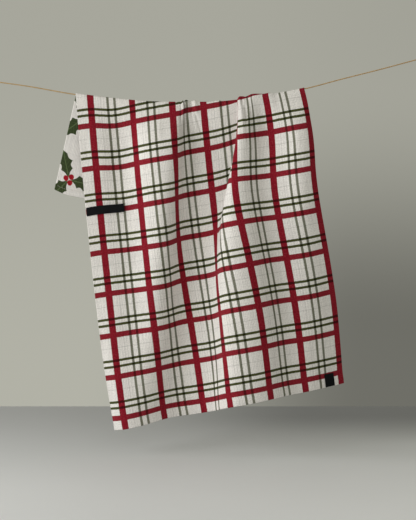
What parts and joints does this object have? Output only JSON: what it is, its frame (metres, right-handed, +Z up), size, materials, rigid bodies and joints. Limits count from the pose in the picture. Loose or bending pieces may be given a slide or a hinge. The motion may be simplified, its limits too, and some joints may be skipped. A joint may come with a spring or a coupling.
{
  "type": "tea towel on a twine line",
  "caption": "Plaid cotton tea towel draped askew over a taut twine line, with a folded pleat, a short back flap, a hanging tape at one side and a small hem label.",
  "frame": {"origin": "middle of the loop that ends the twine line on the left, where a hook or nail would hold it", "axes": "+X runs along the line to the right as seen from the front, +Z is up, and the towel's front panel faces -Y"},
  "size_m": [0.8537, 0.1002, 0.7064],
  "materials": {
    "towel_cotton": "matte woven cotton, ecru with crimson and dark green plaid lines",
    "black_tape": "matte woven tape, bare",
    "black_label": "matte woven label, bare",
    "jute_twine": "matte twisted jute"
  },
  "bodies": {
    "root": {"towel_cloth": "towel_cotton", "hanging_tape": "black_tape", "hem_label": "black_label", "twine_line": "jute_twine", "line_loop_left": "jute_twine", "line_loop_right": "jute_twine"}
  },
  "joints": []
}
